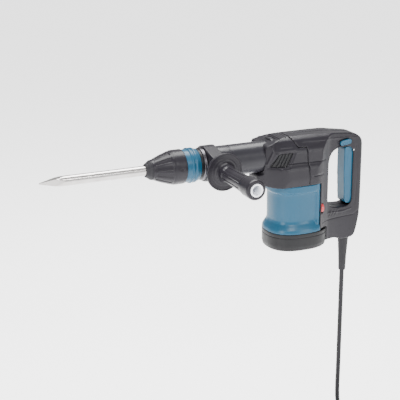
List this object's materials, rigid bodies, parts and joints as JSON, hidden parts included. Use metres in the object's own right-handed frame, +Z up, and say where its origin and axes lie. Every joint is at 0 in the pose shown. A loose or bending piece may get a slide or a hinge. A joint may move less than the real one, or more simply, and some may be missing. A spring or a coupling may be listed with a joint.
{
  "type": "demolition hammer",
  "caption": "Mains-powered demolition hammer with a pointed bit, a swinging side handle and a D-shaped rear grip with a long trigger.",
  "frame": {"origin": "middle of the rear grip, where a hand holds the tool", "axes": "+X along the tool axis towards the rear, bit pointing to -X; +Z up, motor below the barrel; side grip towards -Y"},
  "size_m": [0.6399, 0.2436, 0.6176],
  "materials": {
    "charcoal_plastic": "moulded satin",
    "black_plastic": "moulded satin",
    "soft_rubber": "matt",
    "blue_plastic": "moulded satin",
    "red_plastic": "glossy",
    "pale_plastic": "satin",
    "bright_steel": "ground",
    "dark_steel": "oiled",
    "cast_aluminium": "as cast",
    "coated_aluminium": "black satin coating",
    "carbon": "matt",
    "board": "satin"
  },
  "bodies": {
    "machine": {"front_cover": "charcoal_plastic", "handle_left": "charcoal_plastic", "handle_right": "charcoal_plastic", "barrel": "coated_aluminium", "louvre_left": "black_plastic", "louvre_right": "black_plastic", "base_cover": "black_plastic", "brush_holder_left": "black_plastic", "brush_holder_right": "black_plastic", "switch_module": "black_plastic", "coil_tie": "black_plastic", "plug_body": "black_plastic", "lock_ring": "soft_rubber", "cord_guard": "soft_rubber", "mains_cord": "soft_rubber", "cord_coil": "soft_rubber", "plug_tail": "soft_rubber", "motor_housing": "blue_plastic", "crank_bearing": "bright_steel", "upper_motor_bearing": "bright_steel", "lower_motor_bearing": "bright_steel", "base_screw_1": "bright_steel", "base_screw_2": "bright_steel", "base_screw_3": "bright_steel", "base_screw_4": "bright_steel", "handle_screw_1": "bright_steel", "handle_screw_2": "bright_steel", "trigger_pin": "bright_steel", "plug_pin_left": "bright_steel", "plug_pin_right": "bright_steel", "front_ring": "dark_steel", "cylinder": "dark_steel", "field_stator": "cast_aluminium", "gear_case": "cast_aluminium", "brush_left": "carbon", "brush_right": "carbon", "control_board": "board"},
    "holder": {"tool_holder": "dark_steel", "nose_seal": "soft_rubber", "release_spring": "bright_steel"},
    "bit": {"bull_point_bit": "bright_steel"},
    "release_cover": {"release_cover": "charcoal_plastic"},
    "change_ring": {"change_ring": "blue_plastic"},
    "roller_left": {"locking_roller_left": "bright_steel"},
    "roller_right": {"locking_roller_right": "bright_steel"},
    "impact_bolt": {"impact_bolt": "bright_steel"},
    "striker": {"striker": "bright_steel"},
    "piston": {"piston": "cast_aluminium", "wrist_pin": "bright_steel"},
    "connecting_rod": {"connecting_rod": "dark_steel"},
    "crank": {"crank_gear": "dark_steel"},
    "armature": {"armature": "dark_steel"},
    "side_handle": {"clamp_band": "charcoal_plastic", "handle_base": "black_plastic", "handle_bolt": "bright_steel"},
    "side_grip": {"side_grip": "charcoal_plastic", "grip_core": "pale_plastic"},
    "trigger": {"trigger": "blue_plastic"},
    "lock_button": {"lock_button": "blue_plastic"},
    "control_wheel": {"control_wheel": "red_plastic"}
  },
  "joints": [
    {"name": "tool_holder_turn", "type": "hinge", "parent": "machine", "child": "holder", "pos_m": [-0.335, 0, 0.06], "axis": [1, 0, 0], "continuous": true},
    {"name": "bit_slide", "type": "slide", "parent": "holder", "child": "bit", "axis": [-1, 0, 0], "range_m": [0, 0.018]},
    {"name": "change_ring_slide", "type": "slide", "parent": "holder", "child": "change_ring", "axis": [-1, 0, 0], "range_m": [0, 0.004], "stiffness_N_per_m": 3000, "deforming": ["release_spring"]},
    {"name": "release_cover_slide", "type": "slide", "parent": "holder", "child": "release_cover", "axis": [1, 0, 0], "range_m": [0, 0.0055], "stiffness_N_per_m": 4000, "deforming": ["release_spring"]},
    {"name": "roller_left_slide", "type": "slide", "parent": "holder", "child": "roller_left", "axis": [0, -1, 0], "range_m": [0, 0.003]},
    {"name": "roller_right_slide", "type": "slide", "parent": "holder", "child": "roller_right", "axis": [0, 1, 0], "range_m": [0, 0.003]},
    {"name": "impact_bolt_slide", "type": "slide", "parent": "holder", "child": "impact_bolt", "axis": [1, 0, 0], "range_m": [0, 0.006]},
    {"name": "striker_slide", "type": "slide", "parent": "machine", "child": "striker", "axis": [1, 0, 0], "range_m": [0, 0.012]},
    {"name": "piston_slide", "type": "slide", "parent": "machine", "child": "piston", "axis": [1, 0, 0], "range_m": [-0.012, 0.012]},
    {"name": "rod_pivot", "type": "hinge", "parent": "piston", "child": "connecting_rod", "pos_m": [-0.209, 0, 0.06], "axis": [0, 0, 1], "range_deg": [-13, 13]},
    {"name": "armature_spin", "type": "hinge", "parent": "machine", "child": "armature", "pos_m": [-0.124, 0, -0.04], "axis": [0, 0, 1], "continuous": true},
    {"name": "crank_spin", "type": "hinge", "parent": "machine", "child": "crank", "pos_m": [-0.155, 0, 0.02], "axis": [0, 0, 1], "continuous": true},
    {"name": "side_handle_swing", "type": "hinge", "parent": "machine", "child": "side_handle", "pos_m": [-0.3035, 0, 0.06], "axis": [1, 0, 0], "continuous": true},
    {"name": "side_grip_turn", "type": "hinge", "parent": "side_handle", "child": "side_grip", "pos_m": [-0.3035, -0.1, 0.06], "axis": [0, -1, 0], "range_deg": [0, 360]},
    {"name": "trigger_pull", "type": "hinge", "parent": "machine", "child": "trigger", "pos_m": [-0.004, 0, 0.055], "axis": [0, -1, 0], "range_deg": [0, 4.5], "stiffness_Nm_per_rad": 5},
    {"name": "lock_button_press", "type": "slide", "parent": "machine", "child": "lock_button", "axis": [0, 1, 0], "range_m": [0, 0.004], "stiffness_N_per_m": 800},
    {"name": "control_wheel_turn", "type": "hinge", "parent": "machine", "child": "control_wheel", "pos_m": [-0.084, -0.0345, -0.0445], "axis": [1, 0, 0], "range_deg": [-120, 120]}
  ],
  "couplings": [
    {"joint": "crank_spin", "follows": "armature_spin", "ratio": -0.225},
    {"joint": "roller_left_slide", "follows": "release_cover_slide", "ratio": 0.545},
    {"joint": "roller_right_slide", "follows": "release_cover_slide", "ratio": 0.545}
  ]
}
